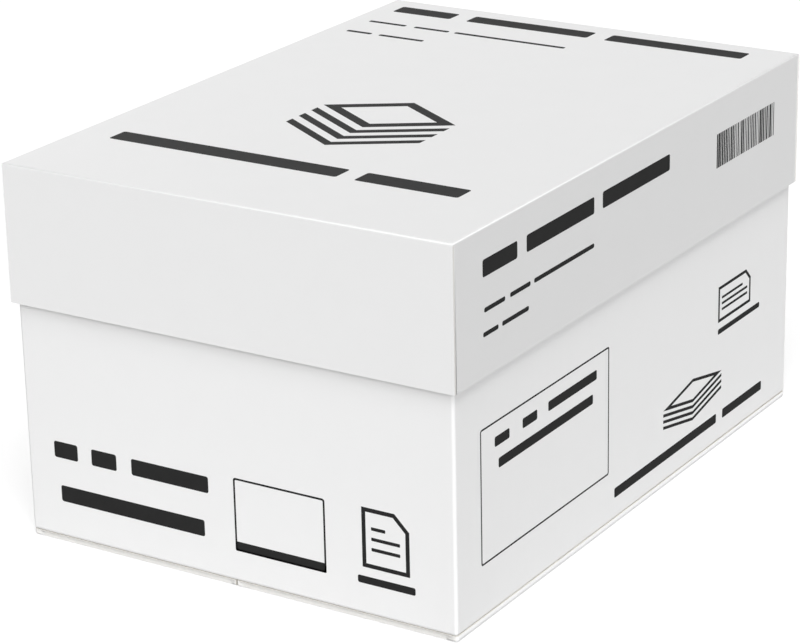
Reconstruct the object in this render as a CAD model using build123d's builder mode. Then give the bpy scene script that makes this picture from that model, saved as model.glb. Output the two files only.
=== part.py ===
from build123d import *
import os

# Carton of A4 copy paper: a folded base with glued bottom flaps, a lid that lifts off,
# and a stack of wrapped reams inside.
# Millimetres. X runs along the short side, Y along the long side, +Z is up.
# The origin is the middle of the underside.

# Reams: A4 sheets in a glued paper wrapper
sheet_width = 210.0
sheet_length = 297.0
sheet_thickness = 0.108
sheets_per_ream = 500
wrapper_thickness = 0.2
ream_edge_radius = 0.8
end_fold_step = 0.25  # each of the two folds on an end stands this far out
end_fold_reach = 33.0  # how far up or down the end a fold comes
ream_names = ["ream_bottom", "ream_middle", "ream_top"]

# Base: B-flute board, one blank
base_board = 3.0
base_fold_radius = 1.5  # outside of a creased fold
ream_side_gap = 1.3  # ream to long wall
ream_tab_play = 1.3  # ream to the joint tab behind a short wall
headroom = 2.5  # top ream to the rim
flap_meeting_gap = 1.0  # between the two outer bottom flaps
outer_flap_setback = 0.3  # outer flap's ends, behind the short walls
inner_flap_setback = 1.0  # inner flap's sides, clear of the long walls
joint_tab_width = 35.0
joint_tab_thickness = 2.0  # board pressed under the glue
joint_tab_setback = 4.0  # tab above the flaps and below the rim
joint_tab_taper = 6.0

# Lid: E-flute board, one blank
lid_board = 1.3
lid_fold_radius = 0.9  # outside of a creased fold
lid_depth = 63.0
lid_side_play = 0.7  # long walls to the base
lid_tab_play = 0.3  # corner tabs to the base
corner_tab_width = 32.0
corner_tab_thickness = 0.8  # board pressed under the glue
corner_tab_setback = 2.0  # tab below the top panel and above the lower edge
corner_tab_taper = 8.0
corner_crease_radius = 0.5  # where a long wall turns in behind a short wall

# Sizes that follow
ream_width = sheet_width + 2 * wrapper_thickness
ream_body_length = sheet_length + 2 * wrapper_thickness
ream_length = ream_body_length + 4 * end_fold_step
ream_height = sheets_per_ream * sheet_thickness + 2 * wrapper_thickness

base_inside_width = ream_width + 2 * ream_side_gap
base_inside_length = ream_length + 2 * (joint_tab_thickness + ream_tab_play)
base_width = base_inside_width + 2 * base_board
base_length = base_inside_length + 2 * base_board
base_floor = 2 * base_board  # the inner flaps lie on the outer flaps
base_height = base_floor + len(ream_names) * ream_height + headroom

lid_inside_width = base_width + 2 * lid_side_play
lid_inside_length = base_length + 2 * (corner_tab_thickness + lid_tab_play)
lid_width = lid_inside_width + 2 * lid_board
lid_length = lid_inside_length + 2 * lid_board
lid_underside = base_height  # the top panel rests on the rim
lid_top = lid_underside + lid_board
lid_lower_edge = lid_top - lid_depth

os.makedirs("parts", exist_ok=True)


# Base
# The walls are one band of board, creased at the corners and joined at the back left one.
# The outer flaps hinge from the long walls and meet along the middle. The inner flaps hinge
# from the short walls, one board higher, and are glued to the outer ones.
flap_length = (base_width - flap_meeting_gap) / 2

with BuildPart() as base:
    with BuildSketch(Plane.XY.offset(base_board)):
        Rectangle(base_width, base_length)
    extrude(amount=base_height - base_board)
    # the joint corner, back left, is a cut end and stays square
    corners = base.edges().filter_by(Axis.Z).sort_by(Axis.X)
    left_corners = corners[:2].sort_by(Axis.Y)
    fillet([left_corners[0], corners[2], corners[3]], base_fold_radius)
    # crease where the short walls turn in to their flaps
    lower_edges = base.faces().sort_by(Axis.Z)[0].edges().filter_by(Axis.X).sort_by(Axis.Y)
    fillet([lower_edges[0], lower_edges[-1]], base_fold_radius)
    with BuildSketch(Plane.XY.offset(base_board)):
        Rectangle(base_inside_width, base_inside_length)
    extrude(amount=base_height - base_board, mode=Mode.SUBTRACT)

    # outer flaps
    with BuildSketch(Plane.XY):
        with Locations((base_width / 2, 0)):
            right_flap = Rectangle(
                flap_length,
                base_length - 2 * outer_flap_setback,
                align=(Align.MAX, Align.CENTER),
            )
        fillet(right_flap.vertices().group_by(Axis.X)[-1], base_fold_radius)
        mirror(about=Plane.YZ)
    extrude(amount=base_board)
    crease_lines = base.edges().filter_by(Axis.Y).group_by(Axis.Z)[0].sort_by(Axis.X)
    fillet([crease_lines[0], crease_lines[-1]], base_fold_radius)

    # inner flaps
    with BuildSketch(Plane.XY.offset(base_board)):
        with Locations((0, base_inside_length / 2)):
            Rectangle(
                base_inside_width - 2 * inner_flap_setback,
                flap_length - base_board,
                align=(Align.CENTER, Align.MAX),
            )
        mirror(about=Plane.XZ)
    extrude(amount=base_board)

    # joint tab: the left wall's end, turned in and glued behind the back wall
    tab_low = base_floor + joint_tab_setback
    tab_high = base_height - joint_tab_setback
    with BuildSketch(Plane.XZ.offset(-base_inside_length / 2)):
        with BuildLine():
            Polyline(
                (-base_inside_width / 2, tab_low),
                (-base_inside_width / 2 + joint_tab_width, tab_low + joint_tab_taper),
                (-base_inside_width / 2 + joint_tab_width, tab_high - joint_tab_taper),
                (-base_inside_width / 2, tab_high),
                close=True,
            )
        make_face()
    extrude(amount=joint_tab_thickness)
    # groove between the creased turn and the back wall's cut end
    with BuildSketch(Plane.XY.offset(base_board)):
        with Locations((-base_width / 2, base_length / 2 - base_board)):
            Rectangle(base_fold_radius, base_fold_radius, align=(Align.MIN, Align.MAX))
        with Locations(
            (-base_width / 2 + base_fold_radius, base_length / 2 - base_board - base_fold_radius)
        ):
            Circle(base_fold_radius, mode=Mode.SUBTRACT)
    extrude(amount=base_height - base_board, mode=Mode.SUBTRACT)

base.part.label = "base"
export_step(base.part, "parts/base.step")


# Lid
# The long walls' ends turn in and are glued behind the short walls, so a short wall's cut
# ends show at the corners.
with BuildPart() as lid:
    with BuildSketch(Plane.XY.offset(lid_lower_edge)):
        Rectangle(lid_width, lid_length)
    extrude(amount=lid_depth)
    fillet(lid.faces().sort_by(Axis.Z)[-1].edges(), lid_fold_radius)
    with BuildSketch(Plane.XY.offset(lid_lower_edge)):
        Rectangle(lid_inside_width, lid_inside_length)
    extrude(amount=lid_depth - lid_board, mode=Mode.SUBTRACT)

    # corner tabs, one behind each end of each short wall
    corner_tab_low = lid_lower_edge + corner_tab_setback
    corner_tab_high = lid_underside - corner_tab_setback
    with BuildSketch(Plane.XZ.offset(-lid_inside_length / 2)):
        with BuildLine():
            Polyline(
                (lid_inside_width / 2, corner_tab_low),
                (lid_inside_width / 2 - corner_tab_width, corner_tab_low + corner_tab_taper),
                (lid_inside_width / 2 - corner_tab_width, corner_tab_high - corner_tab_taper),
                (lid_inside_width / 2, corner_tab_high),
                close=True,
            )
        make_face()
        mirror(about=Plane.YZ)
    back_tabs = extrude(amount=corner_tab_thickness)
    mirror(back_tabs, about=Plane.XZ)

    # grooves between the creased turns and the short walls' cut ends
    with BuildSketch(Plane.XY.offset(lid_lower_edge)):
        with Locations((lid_width / 2, lid_length / 2 - lid_board)):
            Rectangle(corner_crease_radius, corner_crease_radius, align=(Align.MAX, Align.MAX))
        with Locations(
            (lid_width / 2 - corner_crease_radius, lid_length / 2 - lid_board - corner_crease_radius)
        ):
            Circle(corner_crease_radius, mode=Mode.SUBTRACT)
        mirror(about=Plane.YZ)
        mirror(about=Plane.XZ)
    extrude(amount=lid_depth - lid_fold_radius, mode=Mode.SUBTRACT)

lid.part.label = "lid"
export_step(lid.part, "parts/lid.step")


# Reams
# Each is a closed pack: the block of sheets in its wrapper, with the wrapper folded up and
# then down over both ends.
for level, ream_name in enumerate(ream_names):
    underside = base_floor + level * ream_height
    top = underside + ream_height
    fold_corner = ream_width / 2 - ream_edge_radius
    fold_narrow = fold_corner - end_fold_reach

    with BuildPart() as ream:
        with BuildSketch(Plane.XY.offset(underside)):
            Rectangle(ream_width, ream_body_length)
        extrude(amount=ream_height)
        fillet(ream.edges(), ream_edge_radius)
        # first fold, up from the underside
        with BuildSketch(Plane.XZ.offset(-ream_body_length / 2)):
            with BuildLine():
                Polyline(
                    (-fold_corner, underside + ream_edge_radius),
                    (fold_corner, underside + ream_edge_radius),
                    (fold_narrow, underside + ream_edge_radius + end_fold_reach),
                    (-fold_narrow, underside + ream_edge_radius + end_fold_reach),
                    close=True,
                )
            make_face()
        first_fold = extrude(amount=-end_fold_step)
        # second fold, down over the first
        with BuildSketch(Plane.XZ.offset(-ream_body_length / 2)):
            with BuildLine():
                Polyline(
                    (-fold_corner, top - ream_edge_radius),
                    (fold_corner, top - ream_edge_radius),
                    (fold_narrow, top - ream_edge_radius - end_fold_reach),
                    (-fold_narrow, top - ream_edge_radius - end_fold_reach),
                    close=True,
                )
            make_face()
        second_fold = extrude(amount=-2 * end_fold_step)
        mirror([first_fold, second_fold], about=Plane.XZ)

    ream.part.label = ream_name
    export_step(ream.part, f"parts/{ream_name}.step")
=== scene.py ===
import math
import bpy
import bmesh
from mathutils import Matrix, Vector, noise


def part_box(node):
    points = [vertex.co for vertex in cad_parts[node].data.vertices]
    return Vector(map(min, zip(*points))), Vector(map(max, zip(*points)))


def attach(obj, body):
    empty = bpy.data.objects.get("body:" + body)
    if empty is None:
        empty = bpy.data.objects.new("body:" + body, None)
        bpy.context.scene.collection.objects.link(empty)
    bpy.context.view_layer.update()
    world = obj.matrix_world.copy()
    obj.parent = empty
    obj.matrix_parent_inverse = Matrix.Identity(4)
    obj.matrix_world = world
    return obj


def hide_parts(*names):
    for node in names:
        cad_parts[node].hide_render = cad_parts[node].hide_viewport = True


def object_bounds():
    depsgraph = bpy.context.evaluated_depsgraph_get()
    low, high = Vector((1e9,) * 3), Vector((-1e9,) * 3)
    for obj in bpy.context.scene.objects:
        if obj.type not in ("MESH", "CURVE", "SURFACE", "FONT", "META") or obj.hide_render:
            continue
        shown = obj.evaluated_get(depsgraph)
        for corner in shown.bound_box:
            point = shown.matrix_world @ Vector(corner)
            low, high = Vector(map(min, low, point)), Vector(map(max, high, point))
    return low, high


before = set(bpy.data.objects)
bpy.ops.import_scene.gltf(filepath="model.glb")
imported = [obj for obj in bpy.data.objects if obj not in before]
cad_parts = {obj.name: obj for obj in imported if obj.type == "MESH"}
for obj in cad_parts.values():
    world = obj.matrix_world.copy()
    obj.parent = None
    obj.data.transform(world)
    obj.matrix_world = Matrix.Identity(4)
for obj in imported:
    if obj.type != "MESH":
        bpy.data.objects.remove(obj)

# Lidded carton of copy paper with three wrapped reams. All lengths are metres in the frame's own axes:
# X along the short sides, Y along the long sides, Z up. The dictionaries hold what can be changed.
mm = 0.001
skin = 0.1 * mm  # a face this near a plane counts as lying on it
weldWithin = 0.002 * mm  # corners of the frame's loose triangles this near are one
flatWithin = math.radians(1)  # faces that turn less than this are one panel
cutAngle = math.radians(50)  # edges that turn more than this are cuts, not creases
looksAlong = 0.9  # a face looks along an axis when its normal has this much of it
cadLow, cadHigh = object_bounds()
middle = (cadLow + cadHigh) / 2
baseLow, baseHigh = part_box("base")
lidLow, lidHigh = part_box("lid")
reamLow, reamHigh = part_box("ream_top")
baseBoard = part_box("ream_bottom")[0].z / 2  # two layers of flap lie under the reams
lidBoard = lidHigh.z - baseHigh.z  # the top panel rests on the rim
print("frame loaded, carton", [round(v / mm, 1) for v in cadHigh - cadLow], "mm")


def linearColour(hexText):  # sRGB hex to the linear values that the shaders take
    channels = [int(hexText[i:i + 2], 16) / 255 for i in (0, 2, 4)]
    return [c / 12.92 if c <= 0.04045 else ((c + 0.055) / 1.055) ** 2.4 for c in channels] + [1]


def addNode(tree, kind, inputs=None, **settings):  # one node: its settings, then its values and links
    node = tree.nodes.new(kind)
    for name, value in settings.items():
        setattr(node, name, value)
    for name, value in (inputs or {}).items():
        if isinstance(value, bpy.types.NodeSocket):
            tree.links.new(value, node.inputs[name])
        else:
            node.inputs[name].default_value = value
    return node


def newMaterial(name):
    material = bpy.data.materials.new(name)
    material.use_nodes = True
    material.node_tree.nodes.clear()
    return material, material.node_tree


def newPiece(name, bm, materials=()):
    mesh = bpy.data.meshes.new(name)
    bm.to_mesh(mesh)
    bm.free()
    for material in materials:
        mesh.materials.append(material)
    piece = bpy.data.objects.new(name, mesh)
    bpy.context.scene.collection.objects.link(piece)
    return piece


def bakeModifiers(piece):  # keep the evaluated mesh and drop the modifiers
    graph = bpy.context.evaluated_depsgraph_get()
    piece.data = bpy.data.meshes.new_from_object(piece.evaluated_get(graph), depsgraph=graph)
    piece.modifiers.clear()
    while piece.data.materials and piece.data.materials[0] is None:
        piece.data.materials.pop(index=0)  # left by a primitive inside a node tree


def shadeFolds(piece):  # smooth round the creases, sharp at the cuts
    piece.data.shade_smooth()
    piece.data.set_sharp_from_angle(angle=cutAngle)


def rideWith(piece, body, nodes=()):
    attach(piece, body)
    if nodes:
        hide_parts(*nodes)


def directionTo(azimuth, elevation):  # 0 looks at the short side in front, 90 at the long side with print
    a, e = math.radians(azimuth), math.radians(elevation)
    return Vector((math.sin(a) * math.cos(e), -math.cos(a) * math.cos(e), math.sin(e)))


# The camera: angles in degrees, lens in mm, the rest in metres
view = {
    "azimuth": 32.45,
    "elevation": 20.35,
    "roll": -1.24,
    "distance": 1.3544,
    "lens": 133.4,
    "aim": (-0.0068, -0.0107, -0.0146),  # from the middle of the carton
    "reach": 50,  # nothing further off is drawn
}


def makeCamera():
    back = directionTo(view["azimuth"], view["elevation"])
    camera = bpy.data.objects.new("camera", bpy.data.cameras.new("camera"))
    bpy.context.scene.collection.objects.link(camera)
    camera.data.lens = view["lens"]
    camera.data.clip_end = view["reach"]
    camera.location = middle + Vector(view["aim"]) + back * view["distance"]
    roll = Matrix.Rotation(math.radians(view["roll"]), 3, "Z").to_quaternion()
    camera.rotation_mode = "QUATERNION"
    camera.rotation_quaternion = (-back).to_track_quat("-Z", "Y") @ roll
    bpy.context.scene.camera = camera


makeCamera()
print("camera set")


# A plain white studio, in metres and degrees
studio = {
    "worldLevel": 0.12,  # fill from all round
    "floorSize": 12.0,
    "floorColour": "C4C4C4",
    "floorGlow": 0.55,  # only for the camera: lifts the sweep to plain white around the carton's soft shadow
    "lampSpread": 30,  # degrees that each lamp fills, which sets how soft its shadow is
    "lamps": {  # azimuth, elevation, strength
        "highBank": (42, 64, 1.66),
        "frontBank": (12, 40, 0.83),
        "lowBank": (51, 16, 1.44),
        "rearBank": (235, 6, 1.1),
    },
}


def makeLamp(name, azimuth, elevation, strength):  # a far, broad bank of light: even over the whole carton
    back = directionTo(azimuth, elevation)
    lamp = bpy.data.objects.new(name, bpy.data.lights.new(name, "SUN"))
    bpy.context.scene.collection.objects.link(lamp)
    lamp.data.angle = math.radians(studio["lampSpread"])
    lamp.data.energy = strength
    lamp.rotation_mode = "QUATERNION"
    lamp.rotation_quaternion = (-back).to_track_quat("-Z", "Y")


def makeWorld():  # soft fill on the surfaces, plain white where a ray sees past the carton
    world = bpy.data.worlds.new("whiteStudio")
    world.use_nodes = True
    tree = world.node_tree
    tree.nodes.clear()
    path = addNode(tree, "ShaderNodeLightPath")
    seen = path.outputs["Is Camera Ray"]
    for kind in ("Is Glossy Ray", "Is Transmission Ray"):
        either = addNode(tree, "ShaderNodeMath", {0: seen, 1: path.outputs[kind]}, operation="MAXIMUM")
        seen = either.outputs[0]
    white = linearColour("FFFFFF")
    fill = addNode(tree, "ShaderNodeBackground", {"Color": white, "Strength": studio["worldLevel"]})
    backdrop = addNode(tree, "ShaderNodeBackground", {"Color": white, "Strength": 1.0})
    mix = addNode(tree, "ShaderNodeMixShader", {0: seen, 1: fill.outputs[0], 2: backdrop.outputs[0]})
    addNode(tree, "ShaderNodeOutputWorld", {"Surface": mix.outputs[0]})
    bpy.context.scene.world = world


def makeFloor():
    material, tree = newMaterial("whitePaintedSweep")
    path = addNode(tree, "ShaderNodeLightPath")
    paint = addNode(tree, "ShaderNodeBsdfDiffuse", {"Color": linearColour(studio["floorColour"])})
    glow = addNode(tree, "ShaderNodeEmission",
                   {"Color": linearColour("FFFFFF"), "Strength": studio["floorGlow"]})
    shown = addNode(tree, "ShaderNodeAddShader", {0: paint.outputs[0], 1: glow.outputs[0]})
    mix = addNode(tree, "ShaderNodeMixShader",
                  {0: path.outputs["Is Camera Ray"], 1: paint.outputs[0], 2: shown.outputs[0]})
    addNode(tree, "ShaderNodeOutputMaterial", {"Surface": mix.outputs[0]})
    half = studio["floorSize"] / 2
    bm = bmesh.new()
    corners = ((-half, -half), (half, -half), (half, half), (-half, half))
    bm.faces.new([bm.verts.new((x, y, cadLow.z)) for x, y in corners])
    newPiece("floor", bm, [material])


for name, values in studio["lamps"].items():
    makeLamp(name, *values)
makeWorld()
makeFloor()
bpy.context.scene.view_settings.view_transform = "Standard"
print("studio:", len(studio["lamps"]), "lamps, world and floor")


# Flutes of the two boards, pitch in mm. "across" is the axis that the waves cross, and "turned" the axis
# that they cross on the faces that look along "facing".
flutes = {
    "base": {"pitch": 6.4, "across": 1, "turned": 0, "facing": 1},  # B flute: Y, and X on the short walls
    "lid": {"pitch": 3.2, "across": 0, "turned": 2, "facing": 0},  # E flute: X, and Z on the long walls
}

# Paper finishes. light and dark are the ends of the mottling. Sizes and heights are in mm: fibre is the
# width of the fibre pattern, drawn coarser than the real 0.03 mm so that it shows, and cloud is the size
# of its thin and thick patches. ridge is how far the flutes show through the liner.
paperLooks = {
    # Bleached kraft liner, machine coated with matt clay and glued over B flute: an even soft white,
    # with the faintest fibre clouds and a washboard only raking light brings out
    "coatedLinerOnBFlute": {
        "light": "F2F2F2", "dark": "EEEEEE", "roughness": 0.65, "ior": 1.4, "fibre": 0.5,
        "fibreHeight": 0.012, "cloud": 14, "board": "base", "ridge": 0.010},
    # The same liner on E flute: a shade less white, and smoother
    "coatedLinerOnEFlute": {
        "light": "EEEEEE", "dark": "EAEAEA", "roughness": 0.65, "ior": 1.4, "fibre": 0.5,
        "fibreHeight": 0.012, "cloud": 14, "board": "lid", "ridge": 0.005},
    # Painted shade: the lid's long sides are a pale grey, flatter and a step darker than bare liner, so that
    # they look more shaded than the base below
    "lidLongSidePaintedShade": {
        "light": "E5E5E5", "dark": "E1E1E1", "roughness": 0.65, "ior": 1.4, "fibre": 0.5,
        "fibreHeight": 0.012, "cloud": 14, "board": "lid", "ridge": 0.005},
    # Uncoated inner liner: duller, a touch warm, and more fibrous
    "uncoatedLiner": {
        "light": "E6E4DE", "dark": "DAD7CF", "roughness": 0.85, "ior": 1.4, "fibre": 0.7,
        "fibreHeight": 0.03, "cloud": 9, "board": "base", "ridge": 0.020},
    # Board cut by guillotine and slotter knives: open fibres, matt, a little rough. Its tone is near white,
    # whiter than the inner liner and the medium, as a painted highlight where a short wall's cut end shows
    # at the lid's corner
    "cutEdgeAndPaintedHighlight": {
        "light": "F2F1EF", "dark": "E9E7E3", "roughness": 0.9, "ior": 1.4, "fibre": 0.3,
        "fibreHeight": 0.05, "cloud": 2},
    # Fluting medium, recycled paper pressed into waves by hot rollers: grey and dull
    "rolledFlutingMedium": {
        "light": "DAD7CE", "dark": "CAC6BB", "roughness": 0.9, "ior": 1.4, "fibre": 0.4,
        "fibreHeight": 0.03, "cloud": 5},
    # Machine-glazed wrapping paper, folded and glued round each ream: whiter and smoother than board,
    # with a slight sheen and slack waves
    "glazedReamWrapper": {
        "light": "F3F4F5", "dark": "EDEEF0", "roughness": 0.38, "ior": 1.45, "fibre": 0.35,
        "fibreHeight": 0.006, "cloud": 20, "wave": 45, "waveHeight": 0.35},
    # Flexographic ink soaked into the liner: soft matt black with a fine mottle from the plate
    "flexoInkOnLiner": {
        "light": "222222", "dark": "2C2C2C", "roughness": 0.75, "ior": 1.2, "fibre": 0.4,
        "fibreHeight": 0.012, "cloud": 6},
}


# How the mottling is made up, alike in every finish
mottle = {
    "fibreDetail": 3.0,
    "fibreRoughness": 0.6,
    "cloudDetail": 2.0,
    "cloudShare": 0.4,  # of the tone: the fibres make the rest
    "waveDetail": 1.0,
}


def makePaper(name, light, dark, roughness, ior, fibre, fibreHeight, cloud, board=None, ridge=0.0,
              wave=None, waveHeight=0.0):
    material, tree = newMaterial(name)
    place = addNode(tree, "ShaderNodeTexCoord")
    spot = place.outputs["Object"]
    fine = addNode(tree, "ShaderNodeTexNoise",
                   {"Vector": spot, "Scale": 1 / (fibre * mm), "Detail": mottle["fibreDetail"],
                    "Roughness": mottle["fibreRoughness"]})
    broad = addNode(tree, "ShaderNodeTexNoise",
                    {"Vector": spot, "Scale": 1 / (cloud * mm), "Detail": mottle["cloudDetail"]})
    tone = addNode(tree, "ShaderNodeMix",
                   {0: mottle["cloudShare"], 2: fine.outputs[0], 3: broad.outputs[0]}, data_type="FLOAT")
    colour = addNode(tree, "ShaderNodeMix",
                     {0: tone.outputs[0], 6: linearColour(light), 7: linearColour(dark)}, data_type="RGBA")
    heights = [(fine.outputs[0], fibreHeight)]
    if board:  # a washboard: a sine across the flutes
        flute = flutes[board]
        where = addNode(tree, "ShaderNodeSeparateXYZ", {0: spot})
        normal = addNode(tree, "ShaderNodeSeparateXYZ", {0: place.outputs["Normal"]})
        facing = addNode(tree, "ShaderNodeMath", {0: normal.outputs[flute["facing"]]}, operation="ABSOLUTE")
        turned = addNode(tree, "ShaderNodeMath", {0: facing.outputs[0], 1: 0.5},  # 1 there, 0 elsewhere
                         operation="GREATER_THAN")
        across = addNode(tree, "ShaderNodeMix",
                         {0: turned.outputs[0], 2: where.outputs[flute["across"]],
                          3: where.outputs[flute["turned"]]}, data_type="FLOAT")
        angle = addNode(tree, "ShaderNodeMath",
                        {0: across.outputs[0], 1: math.tau / (flute["pitch"] * mm)}, operation="MULTIPLY")
        ripple = addNode(tree, "ShaderNodeMath", {0: angle.outputs[0]}, operation="SINE")
        heights.append((ripple.outputs[0], ridge / 2))
    if wave:
        swell = addNode(tree, "ShaderNodeTexNoise",
                        {"Vector": spot, "Scale": 1 / (wave * mm), "Detail": mottle["waveDetail"]})
        heights.append((swell.outputs[0], waveHeight))
    height = 0.0  # the sum of the patterns, each times its own height
    for value, weight in heights:
        height = addNode(tree, "ShaderNodeMath", {0: value, 1: weight, 2: height},
                         operation="MULTIPLY_ADD").outputs[0]
    bump = addNode(tree, "ShaderNodeBump", {"Strength": 1.0, "Distance": mm, "Height": height})
    surface = addNode(tree, "ShaderNodeBsdfPrincipled",
                      {"Base Color": colour.outputs[2], "Roughness": roughness, "IOR": ior,
                       "Normal": bump.outputs[0]})
    addNode(tree, "ShaderNodeOutputMaterial", {"Surface": surface.outputs[0]})
    return material


paper = {name: makePaper(name, **look) for name, look in paperLooks.items()}
print("materials:", len(paper), "paper finishes")


def wholeShell(node, name):  # a merged copy of the node, whose flat faces are whole again
    bm = bmesh.new()
    bm.from_mesh(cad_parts[node].data)
    bmesh.ops.remove_doubles(bm, verts=bm.verts, dist=weldWithin)
    bmesh.ops.dissolve_limit(bm, angle_limit=flatWithin, verts=bm.verts, edges=bm.edges)
    return newPiece(name, bm)


def cutGrooves(piece, boxes):  # box-shaped grooves between the liners
    bm = bmesh.new()
    for low, high in boxes:
        centre = (Vector(low) + Vector(high)) / 2
        size = Vector(high) - Vector(low)
        place = Matrix.Translation(centre) @ Matrix.Diagonal(size.to_4d())
        bmesh.ops.create_cube(bm, size=1, matrix=place)
    cutter = newPiece("cutter", bm)
    cut = piece.modifiers.new("grooves", "BOOLEAN")
    cut.object = cutter
    cut.operation = "DIFFERENCE"
    cut.solver = "EXACT"
    bakeModifiers(piece)
    bpy.data.objects.remove(cutter)


def flattenPanels(piece):  # smooth round the creases, flat on the panels
    shadeFolds(piece)
    normals = piece.modifiers.new("flatPanels", "WEIGHTED_NORMAL")
    normals.keep_sharp = True
    normals.weight = 100  # the largest face round a corner decides
    bakeModifiers(piece)


def longWallLines(low, high, board, corner, z):  # along the middle of each long wall's board
    return [((x, low.y + corner, z), (x, high.y - corner, z))
            for x in (low.x + board / 2, high.x - board / 2)]


def shortWallLines(low, high, board, corner, z):  # and of each short wall's
    return [((low.x + corner, y, z), (high.x - corner, y, z))
            for y in (low.y + board / 2, high.y - board / 2)]


def edgeGrooves(low, high, board, cut, bottom, top):  # the space between the liners, wall by wall
    half = board / 2 - cut["liner"] * mm
    corner = cut["corner"] * mm
    boxes = []
    for start, end in longWallLines(low, high, board, corner, bottom):
        boxes.append(((start[0] - half, start[1], bottom), (end[0] + half, end[1], top)))
    for start, end in shortWallLines(low, high, board, corner, bottom):
        boxes.append(((start[0], start[1] - half, bottom), (end[0], end[1] + half, top)))
    return boxes


pointsPerWave = 12.0


def fluteTree():  # the wave of fluting medium seen in a cut edge, along a line in the board's middle
    tree = bpy.data.node_groups.new("fluteAlongEdge", "GeometryNodeTree")
    tree.interface.new_socket("Geometry", in_out="INPUT", socket_type="NodeSocketGeometry")
    for name in ("Pitch", "Swing", "Depth"):
        tree.interface.new_socket(name, in_out="INPUT", socket_type="NodeSocketFloat")
    tree.interface.new_socket("Material", in_out="INPUT", socket_type="NodeSocketMaterial")
    tree.interface.new_socket("Geometry", in_out="OUTPUT", socket_type="NodeSocketGeometry")
    given = addNode(tree, "NodeGroupInput")
    line = addNode(tree, "GeometryNodeMeshToCurve", {0: given.outputs["Geometry"]})
    step = addNode(tree, "ShaderNodeMath", {0: given.outputs["Pitch"], 1: pointsPerWave}, operation="DIVIDE")
    points = addNode(tree, "GeometryNodeResampleCurve",
                     {"Curve": line.outputs[0], "Length": step.outputs[0]}, mode="LENGTH")
    along = addNode(tree, "GeometryNodeSplineParameter")
    waves = addNode(tree, "ShaderNodeMath", {0: along.outputs["Length"], 1: given.outputs["Pitch"]},
                    operation="DIVIDE")
    angle = addNode(tree, "ShaderNodeMath", {0: waves.outputs[0], 1: math.tau}, operation="MULTIPLY")
    wave = addNode(tree, "ShaderNodeMath", {0: angle.outputs[0]}, operation="SINE")
    swing = addNode(tree, "ShaderNodeMath", {0: wave.outputs[0], 1: given.outputs["Swing"]},
                    operation="MULTIPLY")
    tangent = addNode(tree, "GeometryNodeInputTangent")
    sideways = addNode(tree, "ShaderNodeVectorMath", {0: tangent.outputs[0], 1: (0, 0, 1)},
                       operation="CROSS_PRODUCT")
    offset = addNode(tree, "ShaderNodeVectorMath", {0: sideways.outputs[0], "Scale": swing.outputs[0]},
                     operation="SCALE")
    moved = addNode(tree, "GeometryNodeSetPosition", {0: points.outputs[0], "Offset": offset.outputs[0]})
    wire = addNode(tree, "GeometryNodeCurveToMesh", {0: moved.outputs[0]})
    drop = addNode(tree, "ShaderNodeCombineXYZ", {2: given.outputs["Depth"]})
    ribbon = addNode(tree, "GeometryNodeExtrudeMesh",
                     {"Mesh": wire.outputs[0], "Offset": drop.outputs[0], "Offset Scale": 1.0}, mode="EDGES")
    real = addNode(tree, "GeometryNodeRealizeInstances", {0: ribbon.outputs[0]})
    painted = addNode(tree, "GeometryNodeSetMaterial",
                      {0: real.outputs[0], "Material": given.outputs["Material"]})
    addNode(tree, "NodeGroupOutput", {0: painted.outputs[0]})
    return tree


def runTree(piece, tree, values):  # add a node tree to a piece, each input set by its own identifier
    modifier = piece.modifiers.new(tree.name, "NODES")
    modifier.node_group = tree
    for socket in tree.interface.items_tree:
        if socket.in_out == "INPUT" and socket.name in values:
            modifier[socket.identifier] = values[socket.name]


fluteAlongEdge = fluteTree()


def makeFlutes(name, lines, board, cut, pitch, depth):
    bm = bmesh.new()
    for start, end in lines:
        bm.edges.new((bm.verts.new(start), bm.verts.new(end)))
    piece = newPiece(name, bm)
    swing = board / 2 - (cut["liner"] + cut["medium"] / 2) * mm
    runTree(piece, fluteAlongEdge, {"Pitch": pitch * mm, "Swing": swing, "Depth": depth,
                                    "Material": paper["rolledFlutingMedium"]})
    thick = piece.modifiers.new("paper", "SOLIDIFY")
    thick.thickness = cut["medium"] * mm
    thick.offset = 0
    bakeModifiers(piece)
    shadeFolds(piece)
    return piece


# Cut edges of the base, in mm. The creased corners are pressed shut, so no groove runs through them.
baseCut = {
    "liner": 0.4,
    "medium": 0.3,
    "corner": 5.0,  # length of wall at a corner with no groove
    "rimDepth": 6.0,  # how deep the rim is open between the liners
    "rimSet": 0.4,  # the medium ends this far below the liners
    "mediumGap": 0.1,  # between the medium and the end of the groove
    "flapDepth": 0.9,  # groove in the outer flaps' cut ends
    "flapFold": 5.0,  # it stops this far from the fold
    "flapGap": 2.5,  # and this far from the middle, where the flaps meet
}


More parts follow.
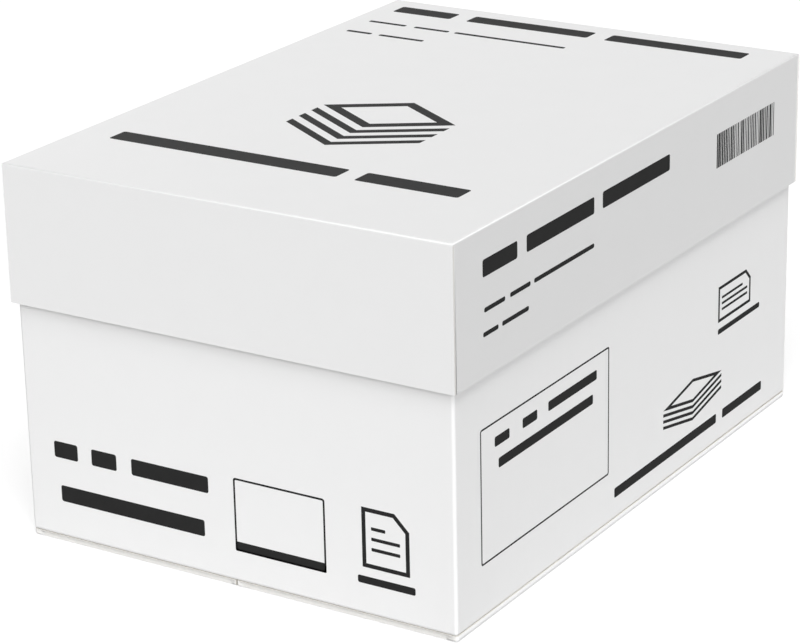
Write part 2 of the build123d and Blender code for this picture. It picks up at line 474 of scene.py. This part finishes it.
def makeBase():
    low, high, cut = baseLow, baseHigh, baseCut
    base = wholeShell("base", "baseBoard")
    floorOfRim = high.z - cut["rimDepth"] * mm
    grooves = edgeGrooves(low, high, baseBoard, cut, floorOfRim, high.z + mm)
    for side in (-1, 1):  # the outer flaps' cut ends, under the short walls
        for end in (-1, 1):
            x = sorted((side * cut["flapGap"] * mm, side * (high.x - cut["flapFold"] * mm)))
            y = sorted((end * (high.y + mm), end * (high.y - cut["flapDepth"] * mm)))
            z = (low.z + cut["liner"] * mm, low.z + baseBoard - cut["liner"] * mm)
            grooves.append(tuple(zip(x, y, z)))  # its low corner, then its high one
    cutGrooves(base, grooves)
    flattenPanels(base)
    for name in ("coatedLinerOnBFlute", "uncoatedLiner", "cutEdgeAndPaintedHighlight"):
        base.data.materials.append(paper[name])
    outside, inside, cutEdge = 0, 1, 2
    for face in base.data.polygons:
        at, normal = face.center, face.normal
        outX, outY = abs(at.x) > high.x - skin, abs(at.y) > high.y - skin
        deepX, deepY = abs(at.x) < high.x - baseBoard + skin, abs(at.y) < high.y - baseBoard + skin
        flapEnd = at.z < low.z + baseBoard and abs(normal.y) > looksAlong
        rim = normal.z > looksAlong and at.z > floorOfRim - skin
        gluedCorner = outX and at.x < 0 and at.y > high.y - baseBoard  # the back wall's cut end
        face.material_index = outside
        if flapEnd or rim or gluedCorner:
            face.material_index = cutEdge
        elif not (outX or outY or at.z < low.z + skin):
            if (deepX and deepY) or at.z > floorOfRim - skin:
                face.material_index = inside
    rideWith(base, "base", ["base"])

    walls = (low, high, baseBoard, cut["corner"] * mm, high.z - cut["rimSet"] * mm)
    down = -(cut["rimDepth"] - cut["rimSet"] - cut["mediumGap"]) * mm
    rim = makeFlutes("baseRimFlutes", longWallLines(*walls) + shortWallLines(*walls), baseBoard, cut,
                     flutes["base"]["pitch"], down)
    rideWith(rim, "base")


# Cut edges of the lid, in mm. Its flutes run along the long walls, so waves show on the short walls alone.
lidCut = {
    "liner": 0.22,
    "medium": 0.16,
    "corner": 3.0,
    "rimDepth": 3.0,
    "rimSet": 0.2,
    "mediumGap": 0.1,
}


def makeLid():
    low, high, cut = lidLow, lidHigh, lidCut
    lid = wholeShell("lid", "lidBoard")
    roofOfRim = low.z + cut["rimDepth"] * mm
    cutGrooves(lid, edgeGrooves(low, high, lidBoard, cut, low.z - mm, roofOfRim))
    flattenPanels(lid)
    for name in ("coatedLinerOnEFlute", "lidLongSidePaintedShade", "uncoatedLiner", "cutEdgeAndPaintedHighlight"):
        lid.data.materials.append(paper[name])
    outside, paintedShadeSide, inside, cutEdge = 0, 1, 2, 3
    for face in lid.data.polygons:
        at, normal = face.center, face.normal
        outX, outY = abs(at.x) > high.x - skin, abs(at.y) > high.y - skin
        deepX, deepY = abs(at.x) < high.x - lidBoard + skin, abs(at.y) < high.y - lidBoard + skin
        lowerEdge = normal.z < -looksAlong and at.z < roofOfRim + skin
        # painted highlight: the short wall's near-white cut end makes a bright line down the lid's corner
        wallEndPaintedHighlight = outX and abs(at.y) > high.y - lidBoard  # a short wall's cut end, seen on the long side
        face.material_index = outside
        if lowerEdge or wallEndPaintedHighlight:
            face.material_index = cutEdge
        elif outX:
            # painted shade: both long sides of the lid take the darker grey
            face.material_index = paintedShadeSide
        elif deepX and deepY and at.z < high.z - lidBoard + skin:
            face.material_index = inside
    rideWith(lid, "lid", ["lid"])

    lines = shortWallLines(low, high, lidBoard, cut["corner"] * mm, low.z + cut["rimSet"] * mm)
    up = (cut["rimDepth"] - cut["rimSet"] - cut["mediumGap"]) * mm
    rim = makeFlutes("lidRimFlutes", lines, lidBoard, cut, flutes["lid"]["pitch"], up)
    rideWith(rim, "lid")


makeBase()
makeLid()
print("base and lid, with open flutes at the rims")


# The wrapper's slack on the top ream, in mm
reamSlack = {
    "step": 12,  # size of the faces that carry it
    "depth": 0.35,  # the deepest hollow
    "size": 55,  # of a hollow
    "tight": 6,  # it is pulled tight this near the edges
    "loose": 24,  # and fully slack this far in
}


def makeReams():
    for name in ("ream_bottom", "ream_middle"):
        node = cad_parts[name]
        node.data.materials.clear()
        node.data.materials.append(paper["glazedReamWrapper"])
    ream = wholeShell("ream_top", "topReamPack")
    bm = bmesh.new()
    bm.from_mesh(ream.data)
    size = reamHigh - reamLow
    for axis in (0, 1):
        count = int(size[axis] / (reamSlack["step"] * mm))
        for i in range(1, count):
            point, normal = Vector(reamLow), Vector((0, 0, 0))
            point[axis] += size[axis] * i / count
            normal[axis] = 1
            bmesh.ops.bisect_plane(bm, geom=bm.verts[:] + bm.edges[:] + bm.faces[:], plane_co=point,
                                   plane_no=normal)
    tight = reamSlack["tight"] * mm
    for vert in bm.verts:
        at = vert.co
        rim = min(at.x - reamLow.x, reamHigh.x - at.x, at.y - reamLow.y, reamHigh.y - at.y)
        if at.z > reamHigh.z - skin and rim > tight:
            swell = 0.5 + 0.5 * noise.noise(at / (reamSlack["size"] * mm))  # between 0 and 1
            at.z -= reamSlack["depth"] * mm * swell * min(1, rim / (reamSlack["loose"] * mm))
    bm.to_mesh(ream.data)
    bm.free()
    flattenPanels(ream)
    ream.data.materials.append(paper["glazedReamWrapper"])
    rideWith(ream, "base", ["ream_top"])


makeReams()
print("three reams")


# A printed field is a thin skin of ink. It stands this far out of the liner and reaches into it, in mm.
inkSkin = {"proud": 0.03, "sunk": 0.02}

# Printed faces: lower left corner, reading direction, up, and the body they ride on
printedFaces = {
    "lidTop": ((lidLow.x, lidLow.y, lidHigh.z), (1, 0, 0), (0, 1, 0), "lid"),
    "lidLong": ((lidHigh.x, lidLow.y, lidLow.z), (0, 1, 0), (0, 0, 1), "lid"),
    "baseShort": ((baseLow.x, baseLow.y, baseLow.z), (1, 0, 0), (0, 0, 1), "base"),
    "baseLong": ((baseHigh.x, baseLow.y, baseLow.z), (0, 1, 0), (0, 0, 1), "base"),
}


# Each shape below is an outline and the outline of its hole or None, in mm from the face's corner.
def bar(left, low, width, height, radius=0.8, steps=4):
    radius = min(radius, width / 2, height / 2)
    xs, ys = (left + radius, left + width - radius), (low + radius, low + height - radius)
    points = []
    for quarter, (x, y) in enumerate(((xs[1], ys[1]), (xs[0], ys[1]), (xs[0], ys[0]), (xs[1], ys[0]))):
        for step in range(steps + 1):
            turn = (quarter + step / steps) * math.pi / 2
            points.append((x + radius * math.cos(turn), y + radius * math.sin(turn)))
    return points


def wordBars(low, height, spans, radius=0.8):  # a line of type becomes a bar for each word
    return [(bar(left, low, right - left, height, radius), None) for left, right in spans]


def outlinedBox(left, low, width, height, line, foot=0, radius=1.2):
    shapes = [(bar(left, low, width, height, radius),
               bar(left + line, low + line, width - 2 * line, height - 2 * line, radius / 2))]
    if foot:
        shapes.append((bar(left, low, width, foot, radius / 2), None))
    return shapes


def sheetMark(left, low, width, height, line, fold):  # a sheet with a cut corner and three lines on it
    right, top = left + width, low + height
    slope = line * (math.sqrt(2) - 1)
    outer = [(left, low), (right, low), (right, top - fold), (right - fold, top), (left, top)]
    inner = [(left + line, low + line), (right - line, low + line), (right - line, top - fold - slope),
             (right - fold - slope, top - line), (left + line, top - line)]
    shapes = [(outer, inner)]
    gap, margin, thin = (height - 2 * line) / 5, 2.4 * line, 0.8 * line
    for row, short in enumerate((0, 0, fold), 1):  # the top line stops short of the cut corner
        shapes.append((bar(left + margin, low + gap * (row + 0.5) + line / 2,
                           width - 2 * margin - short, thin, 0.3), None))
    return shapes


def stackMark(left, low, width, height, line, layers=3):  # a stack of sheets seen over its near corner
    rise = (height - layers * 2 * line) / 2
    centre, right, top = left + width / 2, left + width, low + height
    outer = [(left, top - rise), (centre, top - 2 * rise), (right, top - rise), (centre, top)]
    shrink = line * math.hypot(width / 2, rise)
    dx, dy = shrink / rise, shrink / (width / 2)
    inner = [(left + dx, top - rise), (centre, top - 2 * rise + dy), (right - dx, top - rise),
             (centre, top - dy)]
    shapes = [(outer, inner)]
    for layer in range(layers):
        y = top - rise - 2 * line * (layer + 1) + line
        shapes.append(([(left, y), (left, y - line), (centre, y - rise - line), (right, y - line),
                        (right, y), (centre, y - rise)], None))
    return shapes


def printShapes(name, face, shapes):
    corner, across, up, body = printedFaces[face]
    corner, across, up = Vector(corner), Vector(across), Vector(up)
    out = across.cross(up)
    bm = bmesh.new()
    for outline, hole in shapes:
        rings = []  # front and back of the outline, then of its hole
        for points in (outline, hole or []):
            for depth in (inkSkin["proud"], -inkSkin["sunk"]):
                rings.append([bm.verts.new(corner + (across * x + up * y + out * depth) * mm)
                              for x, y in points])
        if hole:
            joins = [(0, 1), (2, 3), (0, 2), (1, 3)]
        else:
            bm.faces.new(rings[0])
            bm.faces.new(rings[1])
            joins = [(0, 1)]
        for a, b in joins:
            for i in range(len(rings[a])):
                bm.faces.new((rings[a][i], rings[a][i - 1], rings[b][i - 1], rings[b][i]))
    bmesh.ops.recalc_face_normals(bm, faces=bm.faces)
    bmesh.ops.triangulate(bm, faces=[f for f in bm.faces if len(f.verts) > 4])
    rideWith(newPiece(name, bm, [paper["flexoInkOnLiner"]]), body)


def stripeTree():  # stripes of mixed widths side by side, made up, standing for nothing
    tree = bpy.data.node_groups.new("stripeBlock", "GeometryNodeTree")
    tree.interface.new_socket("Geometry", in_out="INPUT", socket_type="NodeSocketGeometry")
    for name in ("Count", "Seed"):
        tree.interface.new_socket(name, in_out="INPUT", socket_type="NodeSocketInt")
    for name in ("Width", "Height", "Thickness", "Thinnest", "Broadest"):
        tree.interface.new_socket(name, in_out="INPUT", socket_type="NodeSocketFloat")
    tree.interface.new_socket("Place", in_out="INPUT", socket_type="NodeSocketVector")
    tree.interface.new_socket("Material", in_out="INPUT", socket_type="NodeSocketMaterial")
    tree.interface.new_socket("Geometry", in_out="OUTPUT", socket_type="NodeSocketGeometry")
    given = addNode(tree, "NodeGroupInput")
    step = addNode(tree, "ShaderNodeMath", {0: given.outputs["Width"], 1: given.outputs["Count"]},
                   operation="DIVIDE")
    stride = addNode(tree, "ShaderNodeCombineXYZ", {1: step.outputs[0]})
    start = addNode(tree, "ShaderNodeVectorMath", {0: stride.outputs[0], "Scale": 0.5}, operation="SCALE")
    points = addNode(tree, "GeometryNodeMeshLine",
                     {"Count": given.outputs["Count"], "Start Location": start.outputs[0],
                      "Offset": stride.outputs[0]}, mode="OFFSET")
    share = addNode(tree, "FunctionNodeRandomValue",
                    {2: given.outputs["Thinnest"], 3: given.outputs["Broadest"],
                     "Seed": given.outputs["Seed"]}, data_type="FLOAT")
    broad = addNode(tree, "ShaderNodeMath", {0: share.outputs[1], 1: step.outputs[0]}, operation="MULTIPLY")
    size = addNode(tree, "ShaderNodeCombineXYZ",
                   {0: given.outputs["Thickness"], 1: broad.outputs[0], 2: given.outputs["Height"]})
    stripe = addNode(tree, "GeometryNodeMeshCube", {"Size": (1, 1, 1)})
    stripes = addNode(tree, "GeometryNodeInstanceOnPoints",
                      {"Points": points.outputs[0], "Instance": stripe.outputs[0], "Scale": size.outputs[0]})
    placed = addNode(tree, "GeometryNodeTransform",
                     {0: stripes.outputs[0], "Translation": given.outputs["Place"]})
    real = addNode(tree, "GeometryNodeRealizeInstances", {0: placed.outputs[0]})
    painted = addNode(tree, "GeometryNodeSetMaterial",
                      {0: real.outputs[0], "Material": given.outputs["Material"]})
    addNode(tree, "NodeGroupOutput", {0: painted.outputs[0]})
    return tree


def printStripes(name, face, left, low, width, height, count, thinnest, broadest, seed):
    corner, across, up, body = printedFaces[face]
    corner, across, up = Vector(corner), Vector(across), Vector(up)
    out = across.cross(up)
    depth = (inkSkin["proud"] - inkSkin["sunk"]) / 2
    piece = newPiece(name, bmesh.new())
    runTree(piece, stripeTree(), {
        "Count": count, "Seed": seed, "Width": width * mm, "Height": height * mm,
        "Thickness": (inkSkin["proud"] + inkSkin["sunk"]) * mm,
        "Thinnest": thinnest, "Broadest": broadest,
        "Place": corner + (across * left + up * (low + height / 2) + out * depth) * mm,
        "Material": paper["flexoInkOnLiner"]})
    bakeModifiers(piece)
    rideWith(piece, body)


# Where the print lies, in mm from the lower left corner of its face. A span is one word, start and end.
lidTopPrint = {
    "heading": {"low": 294.0, "height": 10.5, "spans": ((11, 44), (53.5, 121), (130.5, 203)), "radius": 1.2},
    "lineOne": {"low": 271.5, "height": 2.6, "spans": ((11, 32), (37, 56.5), (60, 121))},
    "lineTwo": {"low": 251.0, "height": 2.6, "spans": ((11, 25), (29.5, 54.5))},
    "title": {"low": 50.5, "height": 11.5, "spans": ((18.5, 136), (145, 195)), "radius": 1.2},
}
lidTopMark = {"left": 72.5, "low": 86.5, "width": 69, "height": 73, "line": 5.0}
lidSidePrint = {
    "heading": {"low": 42.2, "height": 7.4, "spans": ((22.5, 50), (57.5, 114.5), (122, 183.5)),
                "radius": 1.0},
    "lineOne": {"low": 27.2, "height": 2.0, "spans": ((23.5, 40), (44, 60.5), (63.5, 114.5))},
    "lineTwo": {"low": 17.0, "height": 2.0, "spans": ((22.5, 34.5), (37.5, 59))},
}
lidSideStripes = {
    "left": 229.5,
    "low": 30.0,
    "width": 60.5,
    "height": 16.0,
    "count": 34,
    "thinnest": 0.25,  # share of a stripe's room that its ink fills
    "broadest": 0.95,
    "seed": 5,
}
baseFrontPrint = {
    "lineOne": {"low": 40.6, "height": 7.6, "spans": ((14.7, 27.5), (35, 48.5), (56.5, 97)), "radius": 1.0},
    "lineTwo": {"low": 20.0, "height": 7.6, "spans": ((17.2, 94.2),), "radius": 1.0},
    "underMark": {"low": 17.0, "height": 3.4, "spans": ((171.5, 199.5),)},
}
baseFrontBox = {"left": 110, "low": 17.2, "width": 46, "height": 33.6, "line": 0.9, "foot": 4.4}
baseFrontMark = {"left": 174, "low": 24.5, "width": 23, "height": 27, "line": 1.9, "fold": 7}
baseSidePrint = {
    "lineOne": {"low": 75.2, "height": 4.4, "spans": ((31.6, 43.6), (54.4, 66.6), (76, 118.4))},
    "lineTwo": {"low": 65.0, "height": 4.4, "spans": ((34.6, 115),)},
    "underMark": {"low": 56.6, "height": 2.6, "spans": ((236, 280),)},
    "title": {"low": 13.0, "height": 4.6, "spans": ((135, 235.5), (242, 284))},
}
baseSideBox = {"left": 20, "low": 26.4, "width": 109.6, "height": 60.2, "line": 0.8}
baseSideSheet = {"left": 236, "low": 62.5, "width": 34, "height": 17.5, "line": 1.5, "fold": 5}
baseSideMark = {"left": 181.5, "low": 23, "width": 59, "height": 20.5, "line": 1.5}


def linesOf(layout):
    return [shape for line in layout.values() for shape in wordBars(**line)]


printShapes("lidTopPrint", "lidTop", linesOf(lidTopPrint) + stackMark(**lidTopMark))
printShapes("lidSidePrint", "lidLong", linesOf(lidSidePrint))
printStripes("lidSideStripes", "lidLong", **lidSideStripes)
printShapes("baseFrontPrint", "baseShort",
            linesOf(baseFrontPrint) + outlinedBox(**baseFrontBox) + sheetMark(**baseFrontMark))
printShapes("baseSidePrint", "baseLong",
            linesOf(baseSidePrint) + outlinedBox(**baseSideBox) + sheetMark(**baseSideSheet)
            + stackMark(**baseSideMark))
print("print: bars, boxes, marks and stripes")
